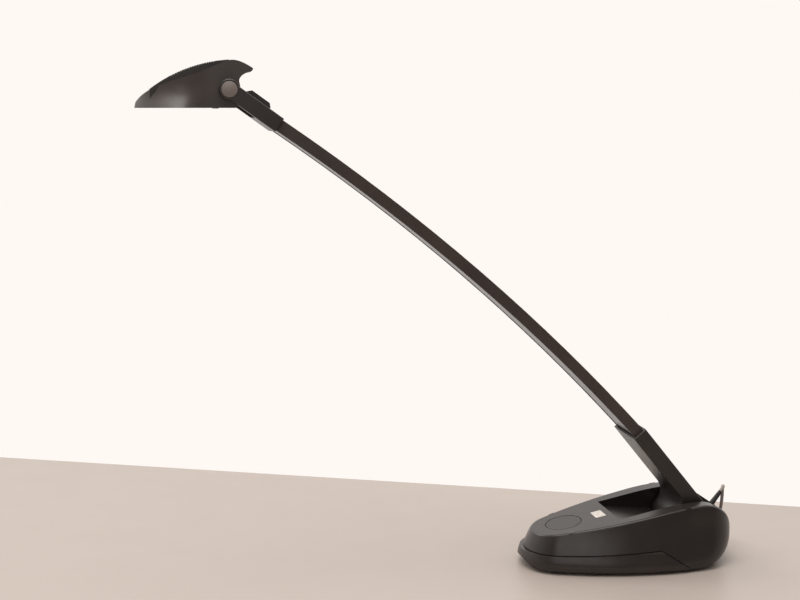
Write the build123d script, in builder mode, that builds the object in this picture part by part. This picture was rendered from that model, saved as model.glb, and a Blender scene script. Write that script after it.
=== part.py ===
# Desk lamp with a heavy base, one long bowed arm and a small tilting head.
# Millimetres, +Z up, -X towards the head, origin on the desk under the middle of the base.
import os
from math import cos, degrees, hypot, pi, radians, sin, sqrt, tan

from build123d import *

os.makedirs("parts", exist_ok=True)


def save(solid, name):
    """Label one finished piece and write its STEP file."""
    solid.label = name
    export_step(solid, f"parts/{name}.step")


# ---------------------------------------------------------------- driving dimensions
# Base housing
FOOT_HEIGHT = 3.0          # rubber feet below the plinth
FLOOR = 2.5                # plinth floor
WALL = 2.6                 # moulded shell wall
SEAM_GAP = 0.8             # dark joint between shell and plinth
SHELL_NOSE = -106.0        # front of the shell at the seam
SHELL_REAR = 110.0         # rear of the shell's plan, trimmed by the round rear
PLINTH_STEP = 4.5          # how far the plinth stands out in front of the shell
SIDE_R = 300.0             # long arcs along both sides of the plan
REAR_R = 130.0             # shallow arc across the rear of the plan
DECK_TILT = 11.0           # degrees, deck rising to the rear
DECK_AT_KNOB = (-64.0, 41.3)   # point of the deck under the knob's centre, X and Z
NOSE_ROUND = 16.0          # nose rounding seen from the side
NOSE_CENTRE_X = -92.0      # its centre
BARREL_CENTRE = (70.0, 27.0)   # centre of the round rear, X and Z
BARREL_R = 37.0            # radius of the round rear
CROWN_R = 300.0            # arc joining deck and round rear
CREASE_FILLET = 2.6        # rounding between deck and sides
SEAM_NOSE_Z = 18.5         # seam height at the nose
SEAM_LOW = (-50.0, 20.2)   # lowest point of the seam, X and Z
SEAM_HIGH = (20.6, 24.2)   # where the seam turns down, X and Z
SEAM_END_X = 53.0          # where the seam reaches the plinth's underside
LAP = 0.3                  # shell to the plinth's floor inside it

# Tray and drum pocket in the shell
TRAY_FRONT = -14.0         # front edge of the tray
TRAY_HALF = 31.0           # half the tray's width
TRAY_FRONT_DEPTH = 4.5     # depth of the tray at its front edge
TRAY_REAR = (44.5, 41.2)   # where the tray floor meets the drum, X and Z
TRAY_BEVEL = 1.6           # bevel along the tray's front edge
RIB = 2.3                  # tray floor and pocket walls

# Arm pivot and foot
PIVOT = (68.0, 34.0)       # X and Z
DRUM_R = 25.5
DRUM_GAP = 1.0             # drum to pocket
FOOT_HALF = 28.0           # half the width of foot and fork
SLEEVE_ANGLE = 50.6        # degrees above the desk
SLEEVE_LENGTH = 119.5      # pivot to the mouth
SLEEVE_FRONT = 9.6         # sleeve's front face, offset from the pivot
SLEEVE_REAR = 25.2         # sleeve's rear face, offset from the pivot
SLEEVE_BLEND = 16.0        # concave blend from sleeve to drum
SLEEVE_EDGE = 1.2          # rounding of the long edges of sleeve and fork
ARM_RAISE = 30.0           # degrees of travel above rest
SLOT_GAP = 1.6             # raised sleeve to the end of its slot

# Arm blade
BLADE_R = 2083.5           # radius of the blade's middle line
BLADE_ANGLE = 47.2         # degrees above the desk where it leaves the sleeve
BLADE_OFFSET = 17.6        # blade's middle at the mouth, offset from the pivot
BLADE_SHOWN = 475.0        # arc length between the two sleeves
BLADE_HALF = 24.0          # half the blade's width
BLADE_THICK = 11.4
BLADE_WALL = 2.2
BLADE_IN_FOOT = 46.0       # how far the blade goes into the sleeve
BLADE_IN_FORK = 12.5
SOCKET_GAP = 0.15          # blade to its sockets
COVER_RECESS = 0.5         # cover strip below the blade's lips
COVER_THICK = 1.6
COVER_LEDGE = 1.4          # ledge that the strip rests on
LEAD_R = 1.5               # lead inside the arm
LEAD_RISE = 0.95           # lead's middle above the blade's
LEAD_BEND = 12.0           # bends inside the fork
LEAD_EASE = 60.0           # slight bends where the blade meets foot and fork
DUCT_GAP = 0.3             # round the lead inside the fork
DUCT_R = 2.4               # duct for the lead in the foot

# Fork and head hinge
FORK_ANGLE = 35.7          # degrees above the desk
FORK_LENGTH = 55.7         # mouth to the head pin
FORK_HALF_DEPTH = 7.2
CHEEK_INNER = 22.2         # middle plane to a cheek's inner face
BOSS_R = 9.4
FORK_SLOT = 34.0           # pin to the end of the slot between the cheeks
PIN_R = 3.0
CAP_R = 7.3
CAP_GAP = 0.35             # ring round the cap
CAP_SINK = 1.6             # how deep the cap sits in the cheek
CAP_RISE = 1.2             # how far the cap's dome stands out
TONGUE_HALF = 13.0         # cable tongue over the slot, half its width
TONGUE_FRONT = 15.4        # pin to the tongue's front end
TONGUE_REAR = 41.0         # pin to the tongue's rear end
TONGUE_LOW = 3.6           # tongue's underside above the pin
TONGUE_TOP = 12.2          # tongue's top above the pin
TONGUE_BEVEL = 3.0

# Head, with X and Z measured from the head pin
HEAD_HALF = 21.7           # half the head's width between the cheeks
HEAD_NOSE = -84.2
HEAD_WIDEST = -44.0        # where the rim is widest
RIM_Z = -16.8
HEAD_WALL = 1.8
HEAD_WAIST = -13.0         # behind this the head fits between the cheeks
DOME_HALF = 17.5           # half the width of the finned panel
DOME_SKIN = 2.2
FIN_PITCH = 2.2
FIN_COUNT = 18
FIN_FRONT = -50.4          # first slit
FIN_SLIT = 1.0
FIN_DEPTH = 1.5            # grooves at the panel's sides
GLASS_THICK = 2.0
GLASS_GAP = 0.3
HEAD_BUSH_R = 5.0
CAPSULE_R = 5.0
CAPSULE_Z = -5.0           # lamp axis below the pin

# Knob
KNOB_R = 18.3
KNOB_THICK = 4.0
KNOB_GAP = 0.5             # ring round the knob
SPINDLE_R = 3.0
SPINDLE_LENGTH = 15.0

# Inside the base
BALLAST_THICK = 8.0
CORE = (66.0, 55.0, 22.0)  # transformer laminations
CORE_X = -10.0
WINDOW = (11.0, 33.0)      # openings in the laminations
COIL_BULGE = 5.0           # winding above and below the laminations
SCREW_R = 1.5
SCREW_HEAD_R = 2.7
SCREW_HEAD = 1.7

# Shafts
RUNNING = 0.05             # radial clearance of a running fit
AXLE_R = 4.0
AXLE_HALF = 39.5
BUSH_WALL = 3.0
BUSH_LENGTH = 12.0

# Power cord
CORD_R = 1.8
RELIEF_SEAT = 38.7         # degrees round the base's rear, above the horizontal
RELIEF_ANGLE = 52.0        # degrees above the desk
RELIEF_NECK_R = 2.6        # where it passes through the wall
RELIEF_IN = 5.0            # how far it reaches inside
RELIEF_LENGTH = 17.0
RELIEF_ROOT_R = 2.9
RELIEF_TIP_R = 2.1
COIL_CENTRE = (45.0, 97.0)
COIL_INNER = 15.8          # radius of the innermost turn
COIL_PITCH = 4.8           # turn to turn
COIL_LAYER = 4.3           # layer to layer
COIL_LAYERS = 4
COIL_HALF_TURNS = 5        # half turns in each layer, before the one that climbs

SLOPE = tan(radians(DECK_TILT))
FLOOR_TOP = FOOT_HEIGHT + FLOOR
FORM_BOTTOM = -30.0        # forms start well below the desk and are cut to length
ACROSS = 200.0             # half width of a cut that goes right across
HIGH = 90.0                # above everything in the base


def deck_z(x):
    """Height of the deck at x."""
    return DECK_AT_KNOB[1] + (x - DECK_AT_KNOB[0]) * SLOPE


def circle_meet(c1, r1, c2, r2):
    """Point at r1 from c1 and r2 from c2, to the left of the way from c1 to c2."""
    dx, dy = c2[0] - c1[0], c2[1] - c1[1]
    d = hypot(dx, dy)
    along = (d * d + r1 * r1 - r2 * r2) / (2 * d)
    up = sqrt(r1 * r1 - along * along)
    return (c1[0] + (along * dx - up * dy) / d, c1[1] + (along * dy + up * dx) / d)


def beyond(origin, centre, r):
    """Point r past the centre, seen from origin."""
    dx, dy = centre[0] - origin[0], centre[1] - origin[1]
    d = hypot(dx, dy)
    return (centre[0] + dx * r / d, centre[1] + dy * r / d)


def arc(start, end, centre):
    """Shorter arc from start to end round a centre."""
    middle = ((start[0] + end[0]) / 2, (start[1] + end[1]) / 2)
    r = hypot(start[0] - centre[0], start[1] - centre[1])
    k = r / hypot(middle[0] - centre[0], middle[1] - centre[1])
    top = (centre[0] + (middle[0] - centre[0]) * k, centre[1] + (middle[1] - centre[1]) * k)
    return ThreePointArc(start, top, end)


def mirrored(point):
    return (point[0], -point[1])


# ---------------------------------------------------------------- form of the base
# height, nose, nose radius, rear, corner radius, corner's offset from the middle
SHELL_LEVELS = [
    (0.0, SHELL_NOSE + 0.5, 38.0, SHELL_REAR - 22.0, 38.0, 18.5),
    (14.0, SHELL_NOSE, 39.5, SHELL_REAR - 4.5, 38.0, 19.5),
    (24.0, SHELL_NOSE + 3.0, 36.0, SHELL_REAR - 0.5, 37.0, 17.0),
    (42.0, SHELL_NOSE + 12.0, 31.0, SHELL_REAR, 34.0, 15.0),
    (70.0, SHELL_NOSE + 26.0, 27.0, SHELL_REAR, 30.0, 12.5),
]
PLINTH_NOSE = SHELL_NOSE - PLINTH_STEP
PLINTH_LEVELS = [
    (FOOT_HEIGHT, PLINTH_NOSE + 1.5, 39.0, SHELL_REAR, 38.0, 19.0),
    (6.0, PLINTH_NOSE, 41.0, SHELL_REAR, 38.0, 20.5),
    (14.0, PLINTH_NOSE + 0.5, 40.0, SHELL_REAR, 38.0, 19.0),
    (26.0, PLINTH_NOSE + 3.0, 38.0, SHELL_REAR, 38.0, 17.5),
]


def plan_outline(nose_x, nose_r, rear_x, corner_r, corner_y, inset=0.0):
    """Plan of the base: nose, sides, corners and rear as tangent arcs, moved inwards by inset."""
    nose = (nose_x + nose_r, 0)
    rear = (rear_x - REAR_R, 0)
    corner = (rear[0] + sqrt((REAR_R - corner_r) ** 2 - corner_y**2), -corner_y)
    side = circle_meet(nose, SIDE_R - nose_r, corner, SIDE_R - corner_r)
    a = beyond(side, nose, nose_r - inset)
    b = beyond(side, corner, corner_r - inset)
    c = beyond(rear, corner, corner_r - inset)
    with BuildLine() as outline:
        ThreePointArc(mirrored(a), (nose_x + inset, 0), a)
        arc(a, b, side)
        arc(b, c, corner)
        ThreePointArc(c, (rear_x - inset, 0), mirrored(c))
        arc(mirrored(c), mirrored(b), mirrored(corner))
        arc(mirrored(b), mirrored(a), mirrored(side))
    make_face(outline.edges())


def side_profile():
    """Side view of the housing: round nose, sloping deck, crown and round rear."""
    along = (cos(radians(DECK_TILT)), sin(radians(DECK_TILT)))
    down = (along[1], -along[0])
    nose = (NOSE_CENTRE_X, deck_z(NOSE_CENTRE_X) - NOSE_ROUND / along[0])
    nose_top = (nose[0] - NOSE_ROUND * down[0], nose[1] - NOSE_ROUND * down[1])
    nose_front = (nose[0] - NOSE_ROUND, nose[1])
    to_barrel = (BARREL_CENTRE[0] - DECK_AT_KNOB[0], BARREL_CENTRE[1] - DECK_AT_KNOB[1])
    ahead = to_barrel[0] * along[0] + to_barrel[1] * along[1]
    below = to_barrel[0] * down[0] + to_barrel[1] * down[1]
    run = ahead - sqrt((CROWN_R - BARREL_R) ** 2 - (CROWN_R - below) ** 2)
    crown_start = (DECK_AT_KNOB[0] + run * along[0], DECK_AT_KNOB[1] + run * along[1])
    crown = (crown_start[0] + CROWN_R * down[0], crown_start[1] + CROWN_R * down[1])
    crown_end = beyond(crown, BARREL_CENTRE, BARREL_R)
    rise = BARREL_CENTRE[1] - FOOT_HEIGHT
    barrel_end = (BARREL_CENTRE[0] + sqrt(BARREL_R**2 - rise**2), FOOT_HEIGHT)
    with BuildLine() as outline:
        arc(nose_front, nose_top, nose)
        Line(nose_top, crown_start)
        arc(crown_start, crown_end, crown)
        arc(crown_end, barrel_end, BARREL_CENTRE)
        Polyline(barrel_end, (barrel_end[0], FORM_BOTTOM), (nose_front[0], FORM_BOTTOM), nose_front)
    make_face(outline.edges())


def housing_form(inset=0.0):
    """Closed form of the housing, reaching down past the desk; an inset gives its inner face."""
    with BuildPart() as form:
        for z, *plan in SHELL_LEVELS:
            with BuildSketch(Plane.XY.offset(z)):
                plan_outline(*plan, inset)
        loft()
        with BuildSketch(Plane.XZ):
            side_profile()
            if inset:
                offset(amount=-inset)
        extrude(amount=ACROSS, both=True, mode=Mode.INTERSECT)
    return form.part


def below_seam(drop=0.0):
    """Side view of everything under the seam, lowered by drop."""
    low = (SEAM_LOW[0], SEAM_LOW[1] - drop)
    front = (SHELL_NOSE - PLINTH_STEP, SEAM_NOSE_Z - drop)
    high = (SEAM_HIGH[0], SEAM_HIGH[1] - drop)
    foot = (SEAM_END_X, FOOT_HEIGHT - drop)
    with BuildLine() as outline:
        ThreePointArc(front, low, high)
        Polyline(
            high,
            foot,
            (ACROSS, foot[1]),
            (ACROSS, FORM_BOTTOM),
            (-ACROSS, FORM_BOTTOM),
            (-ACROSS, front[1]),
            front,
        )
    make_face(outline.edges())


# ---------------------------------------------------------------- places worked out from the above
tilt = radians(DECK_TILT)
deck_plane = Plane(
    origin=(DECK_AT_KNOB[0], 0, DECK_AT_KNOB[1]),
    x_dir=(cos(tilt), 0, sin(tilt)),
    z_dir=(-sin(tilt), 0, cos(tilt)),
)
sleeve_tilt = radians(SLEEVE_ANGLE)
foot_plane = Plane(
    origin=(PIVOT[0], 0, PIVOT[1]),
    x_dir=(-cos(sleeve_tilt), 0, sin(sleeve_tilt)),
    z_dir=(0, 1, 0),
)
mouth = foot_plane.from_local_coords((SLEEVE_LENGTH, BLADE_OFFSET, 0))
lead_v = BLADE_OFFSET + LEAD_RISE
lead_plane = Plane(foot_plane.from_local_coords((0, lead_v, 0)), z_dir=foot_plane.x_dir)
blade_tilt = radians(BLADE_ANGLE)
blade_centre = mouth - Vector(sin(blade_tilt), 0, cos(blade_tilt)) * BLADE_R
blade_from = 90 - BLADE_ANGLE                      # degrees round the blade's centre
blade_to = blade_from + degrees(BLADE_SHOWN / BLADE_R)


def on_blade(angle, r=BLADE_R):
    """Point of the middle plane at an angle round the blade's centre."""
    return blade_centre + Vector(cos(radians(angle)), 0, sin(radians(angle))) * r


fork_tilt = radians(FORK_ANGLE)
pin = on_blade(blade_to) + Vector(-cos(fork_tilt), 0, sin(fork_tilt)) * FORK_LENGTH
fork_plane = Plane(
    origin=pin,
    x_dir=(cos(fork_tilt), 0, -sin(fork_tilt)),
    z_dir=(0, -1, 0),
)
head_plane = Plane(origin=pin, x_dir=(1, 0, 0), z_dir=(0, -1, 0))     # side view, X and Z
head_plan = Plane(origin=pin, x_dir=(1, 0, 0), z_dir=(0, 0, 1))       # plan view
print(f"arm pivot {PIVOT}, head pin ({pin.X:.2f}, {pin.Z:.2f})")

raised = radians(SLEEVE_ANGLE + ARM_RAISE)
slot_end = PIVOT[0] + SLEEVE_REAR * sin(raised) - (BARREL_R - DRUM_R) * cos(raised) + SLOT_GAP

seat = radians(RELIEF_SEAT)
relief_tilt = radians(RELIEF_ANGLE)
relief_plane = Plane(
    origin=(BARREL_CENTRE[0] + BARREL_R * cos(seat), 0, BARREL_CENTRE[1] + BARREL_R * sin(seat)),
    x_dir=(0, 1, 0),
    z_dir=(cos(relief_tilt), 0, sin(relief_tilt)),
)

front_screws = [(-66.0, y) for y in (-30.0, 30.0)]
rear_screws = [(52.0, y) for y in (-45.0, 45.0)]
screw_places = front_screws + rear_screws
foot_places = [(-84.0, -17.0), (-84.0, 17.0), (70.0, -36.0), (70.0, 36.0)]
FOOT_R = 7.0
PAD_SINK = 1.2             # rubber feet sunk into the plinth
BOSS = 3.6                 # screw bosses in the shell

# ---------------------------------------------------------------- base housing
shell_outer = housing_form()
shell_inner = housing_form(WALL)
plinth_floor_form = housing_form(WALL + LAP)


def pocket_profile(grow):
    """Side view of tray and drum pocket; grow gives the outside of their walls."""
    front = TRAY_FRONT - grow
    rear = slot_end + grow
    with BuildLine() as outline:
        Polyline(
            (front, deck_z(TRAY_FRONT) - TRAY_FRONT_DEPTH - grow),
            (TRAY_REAR[0], TRAY_REAR[1] - grow),
            (PIVOT[0], PIVOT[1]),
            (rear, PIVOT[1]),
            (rear, HIGH),
            (front, HIGH),
            close=True,
        )
    make_face(outline.edges())
    with Locations(PIVOT):
        Circle(DRUM_R + DRUM_GAP + grow)


with BuildPart() as pocket_walls:
    with BuildSketch(Plane.XZ):
        pocket_profile(RIB)
    extrude(amount=TRAY_HALF + RIB, both=True)
    with BuildSketch(Plane.XY.offset(FLOOR_TOP + LAP)):
        with Locations(*screw_places):
            Circle(BOSS)
    extrude(amount=HIGH)
    with BuildSketch(deck_plane.offset(-KNOB_THICK - KNOB_GAP - RIB)):
        Circle(KNOB_R + KNOB_GAP + RIB)
    extrude(amount=KNOB_THICK + KNOB_GAP + RIB)
    with BuildSketch(Plane.XY.offset(FLOOR_TOP + LAP)):
        Rectangle(2 * ACROSS, 2 * ACROSS)
    extrude(amount=HIGH, mode=Mode.INTERSECT)
    add(shell_outer, mode=Mode.INTERSECT)

with BuildPart() as base_shell:
    add(shell_outer)
    creases = base_shell.edges().filter_by(
        lambda e: e.bounding_box().min.Z > FOOT_HEIGHT / 2 and e.bounding_box().size.X > 1
    )
    fillet(creases, CREASE_FILLET)
    add(shell_inner, mode=Mode.SUBTRACT)
    add(pocket_walls.part)
    with BuildSketch(Plane.XZ):
        below_seam()
    extrude(amount=ACROSS, both=True, mode=Mode.SUBTRACT)
    # tray, drum pocket and slot
    with BuildSketch(Plane.XZ):
        pocket_profile(0)
        with BuildLine():
            edge = (TRAY_FRONT, deck_z(TRAY_FRONT))
            Polyline(
                (edge[0], edge[1] - TRAY_BEVEL),
                (edge[0] - TRAY_BEVEL, edge[1] + SLOPE),
                (edge[0] - TRAY_BEVEL, HIGH),
                (edge[0], HIGH),
                close=True,
            )
        make_face()
    extrude(amount=TRAY_HALF, both=True, mode=Mode.SUBTRACT)
    # well and spindle hole of the knob
    with BuildSketch(deck_plane.offset(-KNOB_THICK - KNOB_GAP)):
        Circle(KNOB_R + KNOB_GAP)
    extrude(amount=HIGH, mode=Mode.SUBTRACT)
    with BuildSketch(deck_plane):
        Circle(SPINDLE_R + KNOB_GAP)
    extrude(amount=-SPINDLE_LENGTH, mode=Mode.SUBTRACT)
    # axle through both pocket walls
    with BuildSketch(Plane.XZ):
        with Locations(PIVOT):
            Circle(AXLE_R)
    extrude(amount=AXLE_HALF, both=True, mode=Mode.SUBTRACT)
    # hole for the cord's strain relief
    with BuildSketch(relief_plane.offset(-RELIEF_IN)):
        Circle(RELIEF_NECK_R)
    extrude(amount=2 * RELIEF_IN, mode=Mode.SUBTRACT)
    # hole for the lead in the wall of the drum's pocket
    with BuildSketch(lead_plane):
        Circle(DUCT_R)
    extrude(amount=-DRUM_R - DRUM_GAP, mode=Mode.SUBTRACT)
    # screw bores in the bosses
    with BuildSketch(Plane.XY.offset(FOOT_HEIGHT)):
        with Locations(*screw_places):
            Circle(SCREW_R)
    extrude(amount=14, mode=Mode.SUBTRACT)
save(base_shell.part, "base_shell")

with BuildPart() as plinth_floor:
    add(plinth_floor_form)
    with BuildSketch(Plane.XY.offset(FOOT_HEIGHT)):
        Rectangle(2 * ACROSS, 2 * ACROSS)
    extrude(amount=FLOOR, mode=Mode.INTERSECT)

with BuildPart() as base_plinth:
    for height, *levels in PLINTH_LEVELS:
        with BuildSketch(Plane.XY.offset(height)):
            plan_outline(*levels)
    loft()
    with BuildSketch(Plane.XZ):
        below_seam(SEAM_GAP)
    extrude(amount=ACROSS, both=True, mode=Mode.INTERSECT)
    # the underside curves up towards the nose
    with BuildSketch(Plane.XZ):
        with BuildLine():
            ThreePointArc((PLINTH_NOSE - 1, 11.5), (-103.0, 5.6), (-84.0, FOOT_HEIGHT))
            Polyline(
                (-84.0, FOOT_HEIGHT),
                (-84.0, FORM_BOTTOM),
                (PLINTH_NOSE - 1, FORM_BOTTOM),
                (PLINTH_NOSE - 1, 11.5),
            )
        make_face()
    extrude(amount=ACROSS, both=True, mode=Mode.SUBTRACT)
    with BuildSketch(Plane.XY.offset(FLOOR_TOP)):
        plan_outline(*PLINTH_LEVELS[-1][1:], WALL)
    extrude(amount=HIGH, mode=Mode.SUBTRACT)
    # floor reaching back inside the shell
    add(plinth_floor.part)
    # recesses for the feet and holes for the screws
    with BuildSketch(Plane.XY.offset(FOOT_HEIGHT + PAD_SINK)):
        with Locations(*foot_places):
            Circle(FOOT_R)
    extrude(amount=-HIGH, mode=Mode.SUBTRACT)
    with BuildSketch(Plane.XY):
        with Locations(*screw_places):
            Circle(SCREW_R + 0.2)
    extrude(amount=HIGH, mode=Mode.SUBTRACT)
save(base_plinth.part, "base_plinth")

with BuildPart() as rubber_feet:
    with BuildSketch():
        with Locations(*foot_places):
            Circle(FOOT_R)
    extrude(amount=FOOT_HEIGHT + PAD_SINK)
    chamfer(rubber_feet.faces().group_by(Axis.Z)[0].edges(), 0.6)
save(rubber_feet.part, "rubber_feet")

with BuildPart() as base_screws:
    with BuildSketch(Plane.XY.offset(FOOT_HEIGHT)):
        with Locations(*screw_places):
            Circle(SCREW_HEAD_R)
    extrude(amount=-SCREW_HEAD)
    fillet(base_screws.faces().group_by(Axis.Z)[0].edges(), 0.8)
    with BuildSketch(Plane.XY.offset(FOOT_HEIGHT - 0.5)):
        with Locations(*screw_places):
            Circle(SCREW_R)
    extrude(amount=11)
    with BuildSketch(Plane.XY.offset(FOOT_HEIGHT - SCREW_HEAD)):
        with Locations(*screw_places):
            Rectangle(3.2, 0.7)
            Rectangle(0.7, 3.2)
    extrude(amount=0.9, mode=Mode.SUBTRACT)
save(base_screws.part, "base_screws")

# ---------------------------------------------------------------- counterweight and transformer
ballast_top = FLOOR_TOP + BALLAST_THICK
core_bottom = ballast_top
core_middle = core_bottom + CORE[2] / 2
leg = CORE[0] / 2 - 2 * WINDOW[0]          # the outer legs are half as wide as the middle one
window_x = leg + WINDOW[0] / 2
winding_half = (leg + WINDOW[0] - 0.4, WINDOW[1] / 2 - 0.3)
BALLAST_EDGE = 7.5                          # plinth's plan to the plate
BALLAST_REAR = 34.0
STRAP = 9.0
STRAP_THICK = 1.2
STRAP_FOOT = 11.0
strap_x = [CORE_X - CORE[0] / 2 + STRAP / 2, CORE_X + CORE[0] / 2 - STRAP / 2]
strap_out = CORE[1] / 2 + STRAP_THICK
strap_screws = [(x, s * (strap_out + STRAP_FOOT / 2)) for x in strap_x for s in (-1, 1)]

with BuildPart() as ballast_plate:
    with BuildSketch(Plane.XY.offset(FLOOR_TOP)):
        plan_outline(*PLINTH_LEVELS[-1][1:], BALLAST_EDGE)
        with Locations((BALLAST_REAR + ACROSS, 0), (-ACROSS - 82, 0)):
            Rectangle(2 * ACROSS, 2 * ACROSS, mode=Mode.SUBTRACT)
        with Locations((CORE_X, 0)):
            Rectangle(2 * winding_half[0] + 2, 2 * winding_half[1] + 2, mode=Mode.SUBTRACT)
        with Locations(*front_screws):
            Circle(BOSS + 1, mode=Mode.SUBTRACT)
        with Locations(*strap_screws):
            Circle(SCREW_R, mode=Mode.SUBTRACT)
    extrude(amount=BALLAST_THICK)
    chamfer(ballast_plate.faces().group_by(Axis.Z)[-1].edges().filter_by(GeomType.CIRCLE, reverse=True), 0.6)
save(ballast_plate.part, "ballast_plate")

with BuildPart() as transformer_core:
    with BuildSketch(Plane.XY.offset(core_bottom)):
        with Locations((CORE_X, 0)):
            Rectangle(CORE[0], CORE[1])
            with Locations((-window_x, 0), (window_x, 0)):
                Rectangle(*WINDOW, mode=Mode.SUBTRACT)
    extrude(amount=CORE[2])
save(transformer_core.part, "transformer_core")

with BuildPart() as transformer_winding:
    with BuildSketch(Plane.XZ):
        with Locations((CORE_X, core_middle)):
            RectangleRounded(2 * winding_half[0], CORE[2] + 2 * COIL_BULGE, 3)
            Rectangle(2 * leg, CORE[2], mode=Mode.SUBTRACT)
    extrude(amount=winding_half[1], both=True)
save(transformer_winding.part, "transformer_winding")

with BuildPart() as transformer_straps:
    with BuildSketch(Plane.YZ.offset(strap_x[0])):
        with BuildLine():
            top = core_bottom + CORE[2]
            inner = CORE[1] / 2
            outer = inner + STRAP_THICK
            foot = outer + STRAP_FOOT
            right = [
                (foot, ballast_top),
                (inner, ballast_top),
                (inner, top),
            ]
            left = [(-y, z) for y, z in reversed(right)]
            over = [
                (-foot, ballast_top + STRAP_THICK),
                (-outer, ballast_top + STRAP_THICK),
                (-outer, top + STRAP_THICK),
                (outer, top + STRAP_THICK),
                (outer, ballast_top + STRAP_THICK),
                (foot, ballast_top + STRAP_THICK),
            ]
            Polyline(*right, *left, *over, close=True)
        make_face()
    extrude(amount=STRAP / 2, both=True)
    add(transformer_straps.part.moved(Location((strap_x[1] - strap_x[0], 0, 0))))
    with BuildSketch(Plane.XY.offset(ballast_top)):
        with Locations(*strap_screws):
            Circle(SCREW_R)
    extrude(amount=STRAP_THICK, mode=Mode.SUBTRACT)
save(transformer_straps.part, "transformer_straps")

with BuildPart() as transformer_screws:
    with BuildSketch(Plane.XY.offset(ballast_top + STRAP_THICK)):
        with Locations(*strap_screws):
            Circle(SCREW_HEAD_R)
    extrude(amount=SCREW_HEAD)
    with BuildSketch(Plane.XY.offset(ballast_top + STRAP_THICK)):
        with Locations(*strap_screws):
            Circle(SCREW_R)
    extrude(amount=-6)
save(transformer_screws.part, "transformer_screws")

TERMINAL = (26.0, 9.0, 9.0)
TERMINAL_AT = (28.5, 0.0)
with BuildPart() as terminal_block:
    with BuildSketch(Plane.XY.offset(ballast_top)):
        with Locations(TERMINAL_AT):
            Rectangle(TERMINAL[1], TERMINAL[0])
    extrude(amount=TERMINAL[2])
    with BuildSketch(Plane.XY.offset(ballast_top + TERMINAL[2])):
        with Locations(TERMINAL_AT):
            with GridLocations(0, 8, 1, 3):
                Circle(2)
    extrude(amount=-5, mode=Mode.SUBTRACT)
save(terminal_block.part, "terminal_block")

# ---------------------------------------------------------------- knob and switch
SWITCH = (26.0, 26.0, 12.0)
switch_top = KNOB_THICK + KNOB_GAP + RIB    # the switch hangs under the knob's well
NOTCH_ANGLE = 132.0                         # thumb notch, round from the rear of the knob
NOTCH_OUT = 10.3
NOTCH_R = 6.5
NOTCH_DEPTH = 2.2

with BuildPart() as switch_knob:
    with BuildSketch(deck_plane):
        Circle(KNOB_R)
    extrude(amount=-KNOB_THICK)
    fillet(switch_knob.edges().filter_by(GeomType.CIRCLE), 0.6)
    with BuildSketch(deck_plane.offset(-KNOB_THICK)):
        Circle(SPINDLE_R)
    extrude(amount=KNOB_THICK - SPINDLE_LENGTH)
    # thumb notch: a wedge that falls towards the knob's rim
    notch_plane = deck_plane.rotated((0, 0, NOTCH_ANGLE))
    with BuildSketch(Plane(notch_plane.origin, notch_plane.x_dir, -notch_plane.y_dir)):
        with BuildLine():
            Polyline(
                (NOTCH_OUT - NOTCH_R, 0),
                (NOTCH_OUT + NOTCH_R / 2, -NOTCH_DEPTH),
                (NOTCH_OUT + NOTCH_R / 2, 0),
                close=True,
            )
        make_face()
    extrude(amount=NOTCH_R / 2, both=True, mode=Mode.SUBTRACT)
save(switch_knob.part, "switch_knob")

with BuildPart() as rotary_switch:
    with BuildSketch(deck_plane.offset(-switch_top)):
        RectangleRounded(SWITCH[0], SWITCH[1], 2)
        Circle(SPINDLE_R + RUNNING, mode=Mode.SUBTRACT)
    extrude(amount=-SWITCH[2])
    with BuildSketch(deck_plane.offset(-switch_top - SWITCH[2])):
        Rectangle(SWITCH[0] - 6, SWITCH[1] - 6)
    extrude(amount=-1.5)
    with BuildSketch(deck_plane.offset(-switch_top - SWITCH[2])):
        with Locations((-8, -6), (-8, 6), (8, -6), (8, 6)):
            Rectangle(0.8, 3.2)
    extrude(amount=-4.5)
save(rotary_switch.part, "rotary_switch")

# ---------------------------------------------------------------- arm pivot
WASHER_R = 12.0
pocket_out = TRAY_HALF + RIB
NUT_THICK = 4.0

with BuildPart() as pivot_axle:
    with BuildSketch(Plane.XZ):
        with Locations(PIVOT):
            Circle(AXLE_R)
    extrude(amount=AXLE_HALF, both=True)
    chamfer(pivot_axle.edges().filter_by(GeomType.CIRCLE), 0.6)
save(pivot_axle.part, "pivot_axle")

with BuildPart() as pivot_nuts:
    for side in (-1, 1):
        with BuildSketch(Plane.XZ.offset(side * pocket_out)):
            with Locations(PIVOT):
                RegularPolygon(6.5, 6, major_radius=False)
                Circle(AXLE_R, mode=Mode.SUBTRACT)
        extrude(amount=side * NUT_THICK)
save(pivot_nuts.part, "pivot_nuts")

with BuildPart() as friction_washers:
    for side in (-1, 1):
        with BuildSketch(Plane.XZ.offset(side * TRAY_HALF)):
            with Locations(PIVOT):
                Circle(WASHER_R)
                Circle(AXLE_R, mode=Mode.SUBTRACT)
        extrude(amount=side * (FOOT_HALF + 0.2 - TRAY_HALF))
save(friction_washers.part, "friction_washers")


# ---------------------------------------------------------------- arm
def section_at(angle):
    """Plane across the blade; its x runs away from the blade's centre."""
    return Plane(
        origin=blade_centre,
        x_dir=(cos(radians(angle)), 0, sin(radians(angle))),
        z_dir=(-sin(radians(angle)), 0, cos(radians(angle))),
    )


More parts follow.
